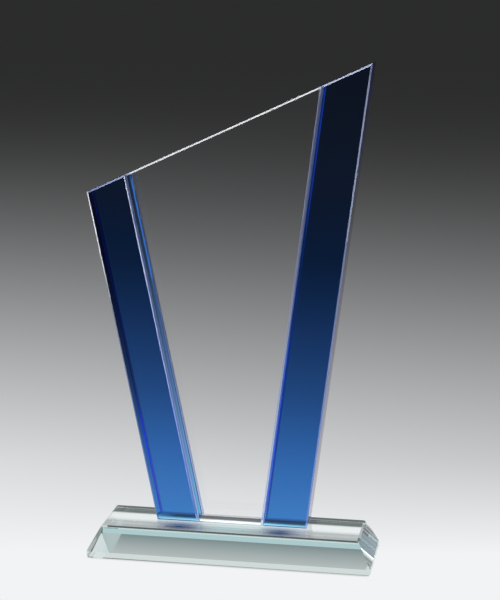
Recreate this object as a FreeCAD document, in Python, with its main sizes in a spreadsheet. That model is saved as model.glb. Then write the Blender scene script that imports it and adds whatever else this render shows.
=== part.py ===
import FreeCAD, Part
import Sketcher
import os
from FreeCAD import Vector

# Column trophy: a clear glass panel held between two leaning blue glass columns on a bevelled glass base.
# Millimetres, +Z up, origin at the centre of the base's underside, the front faces -Y.

DIMENSIONS = {
    # glass base
    "base_length": 150.0,
    "base_depth": 46.0,
    "base_height": 16.4,
    "base_band_height": 3.5,
    "front_bevel_run": 5.7,
    "back_bevel_run": 5.7,
    "end_bevel_run": 7.0,
    "base_arris": 0.7,
    # upright: the panel and the two columns
    "overall_height": 260.0,
    "upright_thickness": 19.0,
    "upright_setback": 19.6,
    "top_slope": 25.1,
    "left_lean": 11.84,
    "right_lean": 6.95,
    "left_foot_reach": 41.1,
    "right_foot_reach": 39.15,
    "left_column_width": 22.0,
    "right_column_width": 23.4,
    "upright_arris": 0.8,
    # cured adhesive between the glass pieces
    "bond_film": 0.1,
}

# Formulas that several sub-parts share, in the sheet's aliases.
SEAT = "(dims.base_height + dims.bond_film)"
FRONT_Y = "(dims.upright_setback - dims.base_depth / 2)"
BACK_Y = f"({FRONT_Y} + dims.upright_thickness)"
LEFT_TAN = "(-tan(dims.left_lean * 1 deg))"
RIGHT_TAN = "tan(dims.right_lean * 1 deg)"
TOP_TAN = "tan(dims.top_slope * 1 deg)"
SUMMIT_X = f"(dims.right_foot_reach + (dims.overall_height - {SEAT}) * {RIGHT_TAN})"

# Where each piece of the upright starts and ends along X at the seat, from left to right.
LEFT_OUTER = "(-dims.left_foot_reach)"
LEFT_INNER = f"({LEFT_OUTER} + dims.left_column_width / cos(dims.left_lean * 1 deg))"
PANEL_LEFT = f"({LEFT_INNER} + dims.bond_film / cos(dims.left_lean * 1 deg))"
RIGHT_OUTER = "dims.right_foot_reach"
RIGHT_INNER = f"({RIGHT_OUTER} - dims.right_column_width / cos(dims.right_lean * 1 deg))"
PANEL_RIGHT = f"({RIGHT_INNER} - dims.bond_film / cos(dims.right_lean * 1 deg))"

# How close to a level counts as lying on it.
NEAR = 0.001

doc = FreeCAD.newDocument("column_trophy")


def make_sheet():
    sheet = doc.addObject("Spreadsheet::Sheet", "dims")
    for row, (alias, number) in enumerate(DIMENSIONS.items(), start=1):
        sheet.set(f"A{row}", alias)
        sheet.set(f"B{row}", str(number))
        sheet.setAlias(f"B{row}", alias)
    doc.recompute()


def value(formula):
    return float(doc.dims.evalExpression(formula))


def new_sketch(body, name, role, offset=None):
    """A sketch on one of the body's own origin planes, moved along the plane's normal by offset."""
    sketch = body.newObject("Sketcher::SketchObject", name)
    plane = next(item for item in body.Origin.OriginFeatures if item.Role == role)
    sketch.AttachmentSupport = [(plane, "")]
    sketch.MapMode = "FlatFace"
    if offset:
        sketch.setExpression("AttachmentOffset.Base.z", offset)
    return sketch


def tie(sketch, kind, line, formula, name):
    """Ties one coordinate of a line's start point to a formula."""
    constraint = Sketcher.Constraint(kind, -1, 1, line, 1, value(formula))
    sketch.renameConstraint(sketch.addConstraint(constraint), name)
    sketch.setExpression(f"Constraints.{name}", formula)


def add_outline(sketch, corners):
    """Adds a closed chain of lines. Each corner is a pair of formulas, measured from the sketch's origin."""
    first = sketch.GeometryCount
    points = [Vector(value(across), value(up), 0) for across, up in corners]
    for start, end in zip(points, points[1:] + points[:1]):
        sketch.addGeometry(Part.LineSegment(start, end), False)
    lines = range(first, first + len(points))
    for line in lines:
        following = first + (line - first + 1) % len(points)
        sketch.addConstraint(Sketcher.Constraint("Coincident", line, 2, following, 1))
    for line, (across, up) in zip(lines, corners):
        tie(sketch, "DistanceX", line, across, f"across_{line}")
        tie(sketch, "DistanceY", line, up, f"up_{line}")


def add_pad(body, sketch, length, both_ways=False):
    pad = body.newObject("PartDesign::Pad", f"{body.Name}_pad")
    pad.Profile = sketch
    pad.Midplane = both_ways
    pad.setExpression("Length", length)
    doc.recompute()
    return pad


def add_chamfer(body, base, edges, size):
    chamfer = body.newObject("PartDesign::Chamfer", f"{body.Name}_arris")
    chamfer.Base = (base, edges)
    chamfer.setExpression("Size", size)
    doc.recompute()
    return chamfer


def outer_edges(shape):
    """The edges around the top face and the underside, and the band's four upright corners."""
    box = shape.BoundBox
    names = []
    for index, edge in enumerate(shape.Edges, start=1):
        lowest = min(vertex.Point.z for vertex in edge.Vertexes)
        if lowest < box.ZMin + NEAR or lowest > box.ZMax - NEAR:
            names.append(f"Edge{index}")
    return names


def base_block():
    """A long glass block: a low upright band, ground bevels on all four sides and a flat top."""
    body = doc.addObject("PartDesign::Body", "base_block")
    profile = new_sketch(body, "base_profile", "YZ_Plane")
    add_outline(profile, [
        ("-dims.base_depth / 2", "0"),
        ("dims.base_depth / 2", "0"),
        ("dims.base_depth / 2", "dims.base_band_height"),
        ("dims.base_depth / 2 - dims.back_bevel_run", "dims.base_height"),
        ("dims.front_bevel_run - dims.base_depth / 2", "dims.base_height"),
        ("-dims.base_depth / 2", "dims.base_band_height"),
    ])
    pad = add_pad(body, profile, "dims.base_length", both_ways=True)

    wedges = new_sketch(body, "end_bevels", "XZ_Plane")
    for side in ("", "-"):
        add_outline(wedges, [
            (f"{side}(dims.base_length / 2)", "dims.base_band_height"),
            (f"{side}(dims.base_length / 2)", "dims.base_height"),
            (f"{side}(dims.base_length / 2 - dims.end_bevel_run)", "dims.base_height"),
        ])
    pocket = body.newObject("PartDesign::Pocket", "end_bevel_cuts")
    pocket.Profile = wedges
    pocket.Type = "ThroughAll"
    pocket.Midplane = True
    doc.recompute()
    if pocket.Shape.Volume >= pad.Shape.Volume:
        raise RuntimeError("the end bevels cut nothing")

    add_chamfer(body, pocket, outer_edges(pocket.Shape), "dims.base_arris")
    return body


def top_of(start, lean_tan):
    """Where a side that starts at start on the seat and leans by lean_tan meets the sloping top."""
    rise = (
        f"((dims.overall_height - {SEAT} - ({SUMMIT_X} - {start}) * {TOP_TAN})"
        f" / (1 - {lean_tan} * {TOP_TAN}))"
    )
    return f"{start} + {rise} * {lean_tan}", f"{SEAT} + {rise}"


def upright_outline(body, left, left_tan, right, right_tan, back):
    """A four-sided outline from the seat to the sloping top, on a plane facing -Y at the depth back."""
    sketch = new_sketch(body, f"{body.Name}_outline", "XZ_Plane", offset=f"-{back}")
    corners = [(left, SEAT), (right, SEAT), top_of(right, right_tan), top_of(left, left_tan)]
    add_outline(sketch, corners)
    return sketch


def face_edges(shape):
    """The edges around the front face and around the back face of an upright piece."""
    box = shape.BoundBox
    names = []
    for index, edge in enumerate(shape.Edges, start=1):
        depths = [vertex.Point.y for vertex in edge.Vertexes]
        on_front = max(depths) < box.YMin + box.YLength / 2
        on_back = min(depths) > box.YMax - box.YLength / 2
        if on_front or on_back:
            names.append(f"Edge{index}")
    return names


def glass_bar(name, left, left_tan, right, right_tan):
    """A glass plate of the upright, with a polished arris around its front and back faces."""
    body = doc.addObject("PartDesign::Body", name)
    sketch = upright_outline(body, left, left_tan, right, right_tan, BACK_Y)
    pad = add_pad(body, sketch, "dims.upright_thickness")
    add_chamfer(body, pad, face_edges(pad.Shape), "dims.upright_arris")
    return body


def joint_bond(name, left, right, lean_tan):
    """The adhesive film between a column and the panel, as wide as the flat faces that it holds."""
    body = doc.addObject("PartDesign::Body", name)
    back = f"({BACK_Y} - dims.upright_arris)"
    sketch = upright_outline(body, left, lean_tan, right, lean_tan, back)
    add_pad(body, sketch, "dims.upright_thickness - 2 * dims.upright_arris")
    return body


def foot_bond(name, left, right):
    """The adhesive film under one piece of the upright, over the flat of its foot."""
    film = doc.addObject("Part::Box", name)
    film.setExpression("Length", f"{right} - {left}")
    film.setExpression("Width", "dims.upright_thickness - 2 * dims.upright_arris")
    film.setExpression("Height", "dims.bond_film")
    film.setExpression("Placement.Base.x", left)
    film.setExpression("Placement.Base.y", f"{FRONT_Y} + dims.upright_arris")
    film.setExpression("Placement.Base.z", "dims.base_height")
    return film


def check(parts):
    doc.recompute()
    for item in doc.Objects:
        if "Invalid" in item.State or "Error" in item.State:
            raise RuntimeError(f"{item.Label} failed: {item.State}")
    for part in parts:
        if part.Shape.isNull() or not part.Shape.isValid():
            raise RuntimeError(f"{part.Label} has no valid shape")
        if len(part.Shape.Solids) != 1:
            raise RuntimeError(f"{part.Label} isn't one solid")


def export(parts):
    os.makedirs("parts", exist_ok=True)
    for part in parts:
        part.Shape.exportStep(f"parts/{part.Label}.step")
        box = part.Shape.BoundBox
        print(
            f"{part.Label}: {part.Shape.Volume / 1000:.2f} cm3,"
            f" X {box.XMin:.2f} to {box.XMax:.2f},"
            f" Y {box.YMin:.2f} to {box.YMax:.2f},"
            f" Z {box.ZMin:.2f} to {box.ZMax:.2f}"
        )


make_sheet()
pieces = [
    base_block(),
    glass_bar("left_column", LEFT_OUTER, LEFT_TAN, LEFT_INNER, LEFT_TAN),
    glass_bar("centre_panel", PANEL_LEFT, LEFT_TAN, PANEL_RIGHT, RIGHT_TAN),
    glass_bar("right_column", RIGHT_INNER, RIGHT_TAN, RIGHT_OUTER, RIGHT_TAN),
    joint_bond("left_joint_bond", LEFT_INNER, PANEL_LEFT, LEFT_TAN),
    joint_bond("right_joint_bond", PANEL_RIGHT, RIGHT_INNER, RIGHT_TAN),
    foot_bond("left_foot_bond", LEFT_OUTER, LEFT_INNER),
    foot_bond("panel_foot_bond", PANEL_LEFT, PANEL_RIGHT),
    foot_bond("right_foot_bond", RIGHT_INNER, RIGHT_OUTER),
]
check(pieces)
export(pieces)
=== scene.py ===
import math

import bpy
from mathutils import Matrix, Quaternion, Vector


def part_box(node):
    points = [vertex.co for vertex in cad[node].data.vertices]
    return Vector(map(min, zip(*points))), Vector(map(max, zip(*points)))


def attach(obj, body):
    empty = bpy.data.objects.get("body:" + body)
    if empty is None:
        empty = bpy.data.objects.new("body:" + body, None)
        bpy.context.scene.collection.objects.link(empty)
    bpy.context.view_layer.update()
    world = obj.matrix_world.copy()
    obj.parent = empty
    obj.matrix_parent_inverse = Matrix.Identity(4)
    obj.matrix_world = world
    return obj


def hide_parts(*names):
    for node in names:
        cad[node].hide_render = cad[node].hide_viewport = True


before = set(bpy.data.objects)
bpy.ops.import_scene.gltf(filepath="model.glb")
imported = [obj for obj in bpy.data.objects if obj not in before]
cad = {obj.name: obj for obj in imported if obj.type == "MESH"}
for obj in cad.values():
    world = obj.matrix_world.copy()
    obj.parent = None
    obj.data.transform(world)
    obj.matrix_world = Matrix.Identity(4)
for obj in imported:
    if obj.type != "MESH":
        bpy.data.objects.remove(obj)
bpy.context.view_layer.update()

MM = 0.001


# ---------------------------------------------------------------- node trees

class Tree:
    """The node tree of a new material. Most methods add a node and return the socket that it puts out."""

    def __init__(self, name):
        self.material = bpy.data.materials.new(name)
        self.material.use_nodes = True
        self.nodes = self.material.node_tree.nodes
        self.links = self.material.node_tree.links
        self.nodes.clear()
        self.output = self.nodes.new("ShaderNodeOutputMaterial")
        self.point = self.nodes.new("ShaderNodeTexCoord").outputs["Object"]
        self.x, self.y, self.z = self.split(self.point)

    def feed(self, source, socket):
        """Sets a socket from another socket, a number or a colour."""
        if isinstance(source, bpy.types.NodeSocket):
            self.links.new(source, socket)
        elif isinstance(source, tuple):
            socket.default_value = (*source, 1)
        else:
            socket.default_value = source

    def split(self, vector):
        node = self.nodes.new("ShaderNodeSeparateXYZ")
        self.links.new(vector, node.inputs[0])
        return node.outputs

    def maths(self, operation, *sources, clamp=False):
        node = self.nodes.new("ShaderNodeMath")
        node.operation = operation
        node.use_clamp = clamp
        for source, socket in zip(sources, node.inputs):
            self.feed(source, socket)
        return node.outputs[0]

    def inside(self, value, low, high):
        """1 where value lies between low and high, 0 elsewhere."""
        above = self.maths("GREATER_THAN", value, low)
        return self.maths("MULTIPLY", above, self.maths("LESS_THAN", value, high))

    def blend(self, amount, first, second, how="MIX"):
        node = self.nodes.new("ShaderNodeMix")
        node.data_type = "RGBA"
        node.blend_type = how
        node.clamp_result = False
        for source, socket in ((amount, node.inputs[0]), (first, node.inputs[6]), (second, node.inputs[7])):
            self.feed(source, socket)
        return node.outputs[2]

    def ramp(self, share, stops):
        """Colours along share. Each stop is a place and a colour."""
        node = self.nodes.new("ShaderNodeValToRGB")
        elements = node.color_ramp.elements
        elements.remove(elements[-1])
        elements[0].position = stops[0][0]
        elements[0].color = (*stops[0][1], 1)
        for place, colour in stops[1:]:
            elements.new(place).color = (*colour, 1)
        self.links.new(share, node.inputs[0])
        return node.outputs[0]

    def noise(self, stretch, detail=3.0):
        """Noise from 0 to 1. Stretch is its frequency per metre along x, y and z."""
        mapping = self.nodes.new("ShaderNodeMapping")
        mapping.inputs["Scale"].default_value = stretch
        self.links.new(self.point, mapping.inputs["Vector"])
        texture = self.nodes.new("ShaderNodeTexNoise")
        texture.inputs["Scale"].default_value = 1.0
        texture.inputs["Detail"].default_value = detail
        self.links.new(mapping.outputs[0], texture.inputs["Vector"])
        return texture.outputs[0]

    def striae(self, stretch, dark):
        """The faint bands that flat glass keeps from being drawn, in colours from dark to white."""
        return self.ramp(self.noise(stretch), [(0.35, dark), (0.6, (1, 1, 1))])

    def clear(self):
        """A shader that lets light straight through."""
        return self.nodes.new("ShaderNodeBsdfTransparent")

    def show(self, amount, first, second):
        """The surface has the first shader where amount is 0 and the second where it is 1."""
        mix = self.nodes.new("ShaderNodeMixShader")
        self.links.new(amount, mix.inputs[0])
        self.links.new(first.outputs[0], mix.inputs[1])
        self.links.new(second.outputs[0], mix.inputs[2])
        self.links.new(mix.outputs[0], self.output.inputs["Surface"])

    def show_glow(self, colour, strength=1.0):
        """The surface glows on its front only, and its back lets light and sight through."""
        glow = self.nodes.new("ShaderNodeEmission")
        self.feed(colour, glow.inputs["Color"])
        self.feed(strength, glow.inputs["Strength"])
        behind = self.nodes.new("ShaderNodeNewGeometry").outputs["Backfacing"]
        self.show(behind, glow, self.clear())


# ---------------------------------------------------------------- where the glass is bonded

BOND_REACH = 0.03 * MM
FILMS = ("left_joint_bond", "right_joint_bond", "left_foot_bond", "panel_foot_bond", "right_foot_bond")


class Bond:
    """The middle plane of an adhesive film, and the box that the film fills."""

    def __init__(self, node):
        mesh = cad[node].data
        face = max(mesh.polygons, key=lambda polygon: polygon.area)
        self.low, self.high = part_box(node)
        self.centre = sum((v.co for v in mesh.vertices), Vector()) / len(mesh.vertices)
        self.normal = face.normal.copy()
        self.half = abs((mesh.vertices[face.vertices[0]].co - self.centre).dot(self.normal))

    def held(self, tree):
        """1 on the glass faces that the film holds, 0 elsewhere."""
        dot = tree.nodes.new("ShaderNodeVectorMath")
        dot.operation = "DOT_PRODUCT"
        tree.links.new(tree.point, dot.inputs[0])
        dot.inputs[1].default_value = self.normal
        away = tree.maths("SUBTRACT", dot.outputs["Value"], self.centre.dot(self.normal))
        return tree.maths("LESS_THAN", tree.maths("ABSOLUTE", away), self.half + BOND_REACH)


bonds = {node: Bond(node) for node in FILMS}


# ---------------------------------------------------------------- glass

IOR = 1.5
POLISH = 0.006
POLISH_STRETCH = (40, 40, 40)

# An arris lies between a face, whose normal is along Y, and an edge, whose normal has no Y.
ARRIS_FACING = (0.3, 0.9)
FOOT_ARRIS_UP = -0.5
TOP_ARRIS_UP = 0.3
ARRIS_FROST = 0.3
ARRIS_ROUGHNESS = 0.06
ARRIS_BLUE = (0.5, 0.6, 1.0)
ARRIS_CLEAR = (0.93, 0.95, 1.0)

# The shares of red, green and blue that get through glass as thick as the upright panel.
BLUE_THROUGH = (0.03, 0.24, 0.67)
PANEL_THROUGH = (0.985, 0.99, 0.99)
BASE_THROUGH = (0.93, 0.975, 0.965)

upright_low, upright_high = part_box("centre_panel")


def grind(tree, shader, shade, polish, top_colour, side_colour):
    """The arrises are partly frosted. The ones at the foot are as clear as the faces."""
    normal = tree.nodes.new("ShaderNodeNewGeometry").outputs["True Normal"]
    deep, up = tree.split(normal)[1:]
    arris = tree.inside(tree.maths("ABSOLUTE", deep), *ARRIS_FACING)
    arris = tree.maths("MULTIPLY", arris, tree.maths("GREATER_THAN", up, FOOT_ARRIS_UP))
    ground = tree.blend(tree.maths("GREATER_THAN", up, TOP_ARRIS_UP), side_colour, top_colour)
    face_polish = tree.maths("MULTIPLY", polish, tree.maths("SUBTRACT", 1.0, arris))
    tree.links.new(tree.blend(arris, shade, ground), shader.inputs["Base Color"])
    tree.links.new(
        tree.maths("MULTIPLY_ADD", arris, ARRIS_ROUGHNESS, face_polish),
        shader.inputs["Roughness"])
    tree.links.new(
        tree.maths("MULTIPLY_ADD", arris, -ARRIS_FROST, 1.0),
        shader.inputs["Transmission Weight"])


def tint(tree, through):
    """The glass takes up light all through its depth."""
    thickness = upright_high.y - upright_low.y
    takes = [-math.log(share) / thickness for share in through]
    density = max(takes)
    absorb = tree.nodes.new("ShaderNodeVolumeAbsorption")
    absorb.inputs["Color"].default_value = (*(1 - take / density for take in takes), 1)
    absorb.inputs["Density"].default_value = density
    tree.links.new(absorb.outputs[0], tree.output.inputs["Volume"])


def glass(name, bonded, through, colour, arris_colours=None, footprint=None):
    """Glass that light leaves without bending where an adhesive film joins it to its neighbour.

    The films are looked for inside footprint only, where it is given.
    """
    tree = Tree(name)
    shader = tree.nodes.new("ShaderNodeBsdfPrincipled")
    shader.inputs["IOR"].default_value = IOR
    polish = tree.maths("MULTIPLY", tree.noise(POLISH_STRETCH, 1.0), POLISH)
    shade = colour(tree)
    if arris_colours:
        grind(tree, shader, shade, polish, *arris_colours)
    else:
        tree.links.new(shade, shader.inputs["Base Color"])
        tree.links.new(polish, shader.inputs["Roughness"])
        shader.inputs["Transmission Weight"].default_value = 1.0

    held = bonds[bonded[0]].held(tree)
    for node in bonded[1:]:
        held = tree.maths("MAXIMUM", held, bonds[node].held(tree))
    if footprint:
        low, high = footprint
        held = tree.maths("MULTIPLY", held, tree.inside(tree.x, low.x, high.x))
        held = tree.maths("MULTIPLY", held, tree.inside(tree.y, low.y, high.y))
    tree.show(held, shader, tree.clear())
    tint(tree, through)
    return tree.material


def clear_striae(tree):
    return tree.striae((2, 2, 60), (0.985, 0.99, 0.99))


def base_striae(tree):
    return tree.striae((8, 60, 220), (0.97, 0.98, 0.98))


def painted_blue_shading(tree):
    """Painted light and shade: the blue is painted lighter at the foot, darkest at about three fifths of the
    height and lighter again near the top.
    """
    rise = tree.maths("SUBTRACT", tree.z, upright_low.z)
    depth = tree.ramp(tree.maths("DIVIDE", rise, upright_high.z - upright_low.z), [
        (0.0, (0.7, 1.0, 1.0)),
        (0.16, (0.7, 0.82, 0.95)),
        (0.3, (0.7, 0.57, 0.7)),
        (0.45, (0.7, 0.43, 0.55)),
        (0.6, (0.5, 0.3, 0.37)),
        (0.75, (0.8, 0.36, 0.42)),
        (0.9, (1.0, 0.6, 0.65)),
        (1.0, (1.0, 0.6, 0.65)),
    ])
    return tree.blend(1.0, depth, tree.striae((3, 3, 50), (0.96, 0.97, 0.98)), "MULTIPLY")


def dress(node, material):
    for slot in cad[node].material_slots:
        slot.material = material


for side in ("left", "right"):
    dress(f"{side}_column", glass(
        f"blue_glass_{side}", [f"{side}_joint_bond", f"{side}_foot_bond"],
        BLUE_THROUGH, painted_blue_shading, (ARRIS_BLUE, ARRIS_BLUE)))
# The clear panel's side arrises, at the joints, are painted blue: painted light for the blue that reaches
# them through the columns.
dress("centre_panel", glass(
    "clear_glass", ["left_joint_bond", "right_joint_bond", "panel_foot_bond"],
    PANEL_THROUGH, clear_striae, (ARRIS_CLEAR, ARRIS_BLUE)))
dress("base_block", glass(
    "base_glass", ["panel_foot_bond"], BASE_THROUGH, base_striae,
    footprint=(bonds["left_foot_bond"].low, bonds["right_foot_bond"].high)))


# ---------------------------------------------------------------- adhesive films

BUBBLES_PER_METRE = 900.0
FILM_THINNING = 0.6


def film_material():
    """Clear adhesive with tiny bubbles."""
    tree = Tree("clear_adhesive")
    bubbles = tree.nodes.new("ShaderNodeTexVoronoi")
    bubbles.inputs["Scale"].default_value = BUBBLES_PER_METRE
    tree.links.new(tree.point, bubbles.inputs["Vector"])
    tones = tree.ramp(bubbles.outputs["Distance"], [(0.05, (0.8, 0.82, 0.86)), (0.1, (0.98, 0.985, 1.0))])
    clear = tree.clear()
    tree.links.new(tones, clear.inputs["Color"])
    tree.links.new(clear.outputs[0], tree.output.inputs["Surface"])
    return tree.material


def film(node, material):
    """A thinner slab in the middle of the gap, clear of the glass on both sides."""
    bond = bonds[node]
    mesh = cad[node].data.copy()
    mesh.materials.clear()
    mesh.materials.append(material)
    for vertex in mesh.vertices:
        away = (vertex.co - bond.centre).dot(bond.normal)
        vertex.co -= bond.normal * away * FILM_THINNING
    piece = bpy.data.objects.new(node.replace("bond", "adhesive"), mesh)
    bpy.context.collection.objects.link(piece)
    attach(piece, "root")
    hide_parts(node)


adhesive = film_material()
for node in FILMS:
    film(node, adhesive)


# ---------------------------------------------------------------- floor

FLOOR_DROP = 0.2 * MM
FLOOR_TONE = 0.895
FAR_TONE = 0.025
FLOOR_TINT = (0.99, 1.0, 1.02)

# The floor's tone changes along a fixed direction, which is +Y turned by VIEW_TURN, and across it.
VIEW_TURN = math.radians(9.6)
FALL_OFF = 2.1
FRONT_REACH = 0.09
FRONT_FALL = 7.0
SIDE_FALL = 0.6
SIDE_REACH = 0.3
SIDE_ONSET = 6.0
# Painted light that brightens the floor far in front of the trophy.
FAR_FRONT_GLOW_FROM = 0.9
FAR_FRONT_GLOW_RISE = 2.0
FAR_FRONT_GLOW = 0.06

# Painted shade and painted light under and behind the base, as tones, each at a distance in mm along Y from
# the middle of the base.
PAINTED_SHADE_AND_LIGHT = [
    (-24, 1.0), (-22, 0.7), (-6, 0.64), (5, 0.66), (8, 0.8), (10, 1.05), (17, 1.05), (18.5, 0.8), (20, 0.14),
    (23, 0.14), (25, 1.0), (31, 1.15), (34.3, 1.15), (35.1, 0.08), (37, 0.08), (45, 1.0),
]
SHADE_SPAN = 100
SHADE_TAPER = 1.2
SHADE_SPREAD = 1.5
SHADE_SOFT = 3 * MM

# Soft painted patches: painted blue shadows under the two column feet, painted teal-tinted light under the
# middle of the base and a painted bright line of light behind it. Each has the middle and the reach along X
# and Y in mm, and the colour.
PAINTED_SHADOWS_AND_GLOWS = [
    ((-30, 3), (11, 5.5), (0.03, 0.08, 0.28)),
    ((24, 3), (9, 5.5), (0.03, 0.08, 0.28)),
    ((-2, 3), (18, 8), (0.86, 1.12, 1.13)),
    ((-4, 32), (20, 3.5), (2.1, 2.1, 2.1)),
]
base_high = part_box("base_block")[1]


def sheet(name, corners, material):
    """A flat four-cornered sheet. It faces the side from which the corners run anticlockwise."""
    mesh = bpy.data.meshes.new(name)
    mesh.from_pydata([Vector(corner) for corner in corners], [], [(0, 1, 2, 3)])
    mesh.materials.append(material)
    piece = bpy.data.objects.new(name, mesh)
    bpy.context.collection.objects.link(piece)
    return piece


def painted_base_shade_and_light(tree):
    """Painted shade under the base, and painted light where the base would throw light behind itself."""
    beyond = tree.maths("MAXIMUM", tree.maths("SUBTRACT", tree.y, base_high.y), 0.0)
    taper = tree.maths("MULTIPLY_ADD", beyond, -SHADE_TAPER, base_high.x)
    reach = tree.maths("SUBTRACT", taper, tree.maths("ABSOLUTE", tree.x))
    soft = tree.maths("MULTIPLY_ADD", beyond, SHADE_SPREAD, SHADE_SOFT)
    inside = tree.maths("DIVIDE", reach, soft, clamp=True)
    share = tree.maths("MULTIPLY_ADD", tree.y, 1 / (SHADE_SPAN * MM), 0.5)
    tones = tree.ramp(share, [(place / SHADE_SPAN + 0.5, (tone, tone, tone)) for place, tone in PAINTED_SHADE_AND_LIGHT])
    return tree.blend(inside, (1, 1, 1), tones)


def painted_patch(tree, centre, size, colour):
    """A painted patch of shade or light that fades from its middle, as a colour to multiply by."""
    squares = []
    for coordinate, middle, reach in zip((tree.x, tree.y), centre, size):
        off = tree.maths("SUBTRACT", coordinate, middle * MM)
        off = tree.maths("MULTIPLY", off, 1 / (reach * MM))
        squares.append(tree.maths("MULTIPLY", off, off))
    spread = tree.maths("ADD", *squares)
    amount = tree.maths("EXPONENT", tree.maths("MULTIPLY", spread, -1.0))
    return tree.blend(amount, (1, 1, 1), colour)


def turned(tree, across, along):
    """The distance from the origin along a direction that is given by its x and y."""
    first = tree.maths("MULTIPLY", tree.x, across)
    return tree.maths("MULTIPLY_ADD", tree.y, along, first)


def floor_level(tree):
    """Painted light: the floor glows pale near the trophy and falls off behind it, in front of it and,
    behind it only, to the right.
    """
    away = turned(tree, -math.sin(VIEW_TURN), math.cos(VIEW_TURN))
    aside = turned(tree, math.cos(VIEW_TURN), math.sin(VIEW_TURN))
    behind = tree.maths("MAXIMUM", away, 0.0)
    before = tree.maths("MINIMUM", tree.maths("ADD", away, FRONT_REACH), 0.0)
    depth = tree.maths("MULTIPLY_ADD", before, FRONT_FALL, tree.maths("MULTIPLY", behind, -FALL_OFF))
    tone = tree.maths("MULTIPLY", tree.maths("EXPONENT", depth), FLOOR_TONE - FAR_TONE)
    held = tree.maths("MINIMUM", tree.maths("MAXIMUM", aside, -SIDE_REACH), SIDE_REACH)
    onset = tree.maths("MULTIPLY", behind, SIDE_ONSET, clamp=True)
    side = tree.maths("MULTIPLY_ADD", tree.maths("MULTIPLY", held, -SIDE_FALL), onset, 1.0)
    far_front = tree.maths("MULTIPLY", tree.maths("ADD", away, FAR_FRONT_GLOW_FROM), -FAR_FRONT_GLOW_RISE, clamp=True)
    return tree.maths("MULTIPLY_ADD", tone, side, tree.maths("MULTIPLY_ADD", far_front, FAR_FRONT_GLOW, FAR_TONE))


def floor_material():
    tree = Tree("table")
    shade = painted_base_shade_and_light(tree)
    for centre, size, colour in PAINTED_SHADOWS_AND_GLOWS:
        shade = tree.blend(1.0, shade, painted_patch(tree, centre, size, colour), "MULTIPLY")
    # The floor glows with its painted light and painted shade instead of being lit.
    tree.show_glow(tree.blend(1.0, shade, FLOOR_TINT, "MULTIPLY"), floor_level(tree))
    return tree.material


sheet(
    "table",
    [(-9, -9, -FLOOR_DROP), (9, -9, -FLOOR_DROP), (9, 16, -FLOOR_DROP), (-9, 16, -FLOOR_DROP)],
    floor_material())


# ---------------------------------------------------------------- light cards

CARD_SPAN = 3.0
BACK = 3.0


def card(name, corners, stops):
    """A glowing sheet whose colour follows height in metres. The glass sees it, but the camera doesn't."""
    tree = Tree(name)
    share = tree.maths("DIVIDE", tree.z, CARD_SPAN)
    tree.show_glow(tree.ramp(share, [(height / CARD_SPAN, colour) for height, colour in stops]))
    sheet(name, corners, tree.material).visible_camera = False


def across(y, left, right, low, high):
    """The corners of an upright sheet that faces -Y."""
    return [(left, y, low), (right, y, low), (right, y, high), (left, y, high)]


def along(x, start, end, low, high):
    """The corners of an upright sheet that faces +X where end is beyond start, and -X otherwise."""
    return [(x, start, low), (x, end, low), (x, end, high), (x, start, high)]


def turned_square(place, target, side):
    """The corners of a square around place that faces target."""
    place, target = Vector(place), Vector(target)
    toward = (target - place).normalized()
    wide = toward.cross(Vector((0, 0, 1))).normalized() * side / 2
    tall = wide.cross(toward).normalized() * side / 2
    return [place + wide - tall, place - wide - tall, place - wide + tall, place + wide + tall]


card("back_card", across(BACK + 0.02, -4, 3, 0.25, 3.0), [
    (0.25, (0.78, 0.78, 0.78)),
    (0.6, (0.74, 0.74, 0.74)),
    (0.8, (0.4, 0.4, 0.4)),
    (1.04, (0.1, 0.1, 0.1)),
    (1.08, (0.5, 0.55, 0.56)),
    (1.3, (0.5, 0.55, 0.56)),
    (1.9, (0.48, 0.62, 0.66)),
    (2.03, (0.5, 0.64, 0.68)),
    (2.1, (0.08, 0.09, 0.1)),
    (3.0, (0.08, 0.09, 0.1)),
])
card("grey_card", [(-0.79, BACK, 1.05), (1.5, BACK, 1.05), (1.5, BACK, 1.16), (-0.845, BACK, 1.16)], [
    (1.05, (0.18, 0.22, 0.24)),
    (1.088, (0.2, 0.25, 0.26)),
    (1.11, (0.36, 0.385, 0.4)),
    (1.138, (0.53, 0.53, 0.53)),
    (1.16, (0.6, 0.6, 0.6)),
])
card("strip_light", across(BACK - 0.01, -3, 1.5, 1.064, 1.083), [(1.064, (1.0, 1.0, 1.0))])
card("left_card", along(-0.42, 0.07, 0.14, 0.0, 0.13), [
    (0.0, (2.0, 2.0, 2.2)),
    (0.05, (7.5, 7.5, 8)),
    (0.13, (8, 8, 8.5)),
])
card("left_fill", along(-0.44, -0.15, 0.3, 0.0, 0.13), [(0.0, (2.4, 2.4, 2.4))])
card("right_card", along(0.6, -0.02, -0.1, 0.0, 0.14), [(0.0, (2.6, 2.8, 3.2)), (0.14, (2.6, 2.8, 3.2))])
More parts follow.
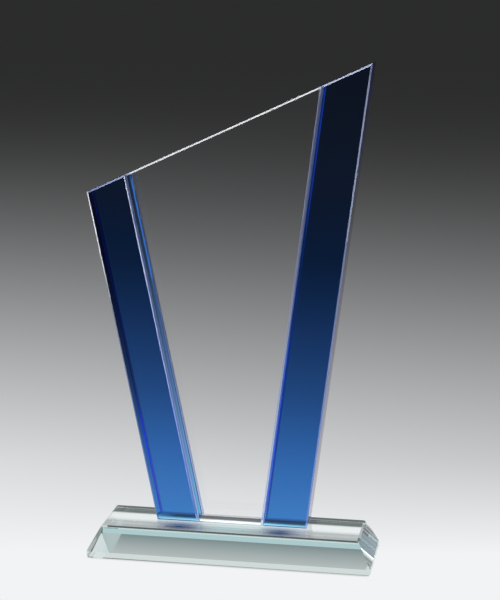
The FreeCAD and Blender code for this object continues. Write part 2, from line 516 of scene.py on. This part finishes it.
card("joint_card", along(0.36, -0.09, -0.125, 0.0, 0.3), [
    (0.0, (2.5, 2.8, 4)),
    (0.1, (5.5, 6, 8)),
    (0.24, (13, 13, 13.5)),
])
card("key", turned_square((-1.06, -0.05, 1.66), (0, 0, 0.2), 0.5), [
    (1.46, (1.2, 1.5, 2.2)),
    (1.6, (6.5, 6.5, 6.5)),
    (1.8, (7.5, 7.5, 7.5)),
])
card("front_fill", turned_square((0.9, -1.3, 1.3), (0, 0, 0.15), 0.6), [(0.0, (9, 9, 9.4))])
card("left_flag", along(-1.6, -0.5, 1.2, 0.35, 1.1), [(0.35, (0.06, 0.14, 0.2)), (1.1, (0.1, 0.2, 0.26))])


# ---------------------------------------------------------------- world and camera

WORLD_TONE = (0.5, 0.5, 0.51)
AZIMUTH = math.radians(9.609)
ELEVATION = math.radians(11.739)
ROLL = math.radians(0.401)
DISTANCE = 0.88161
TARGET = Vector((7.679, 0, 137.411)) * MM
FOCAL = 102.555
SENSOR = 36.0


def light_world():
    world = bpy.data.worlds.new("studio")
    bpy.context.scene.world = world
    world.use_nodes = True
    background = world.node_tree.nodes["Background"]
    background.inputs["Color"].default_value = (*WORLD_TONE, 1)
    background.inputs["Strength"].default_value = 1.0


def place_camera():
    data = bpy.data.cameras.new("camera")
    data.lens = FOCAL
    data.sensor_width = SENSOR
    piece = bpy.data.objects.new("camera", data)
    back = Vector((
        math.sin(AZIMUTH) * math.cos(ELEVATION),
        -math.cos(AZIMUTH) * math.cos(ELEVATION),
        math.sin(ELEVATION),
    ))
    piece.location = TARGET + back * DISTANCE
    piece.rotation_mode = "QUATERNION"
    piece.rotation_quaternion = (-back).to_track_quat("-Z", "Y") @ Quaternion((0, 0, 1), ROLL)
    bpy.context.collection.objects.link(piece)
    bpy.context.scene.camera = piece


light_world()
place_camera()

scene = bpy.context.scene
scene.view_settings.view_transform = "Standard"
scene.cycles.max_bounces = 32
scene.cycles.transmission_bounces = 32
scene.cycles.transparent_max_bounces = 48
scene.cycles.glossy_bounces = 16
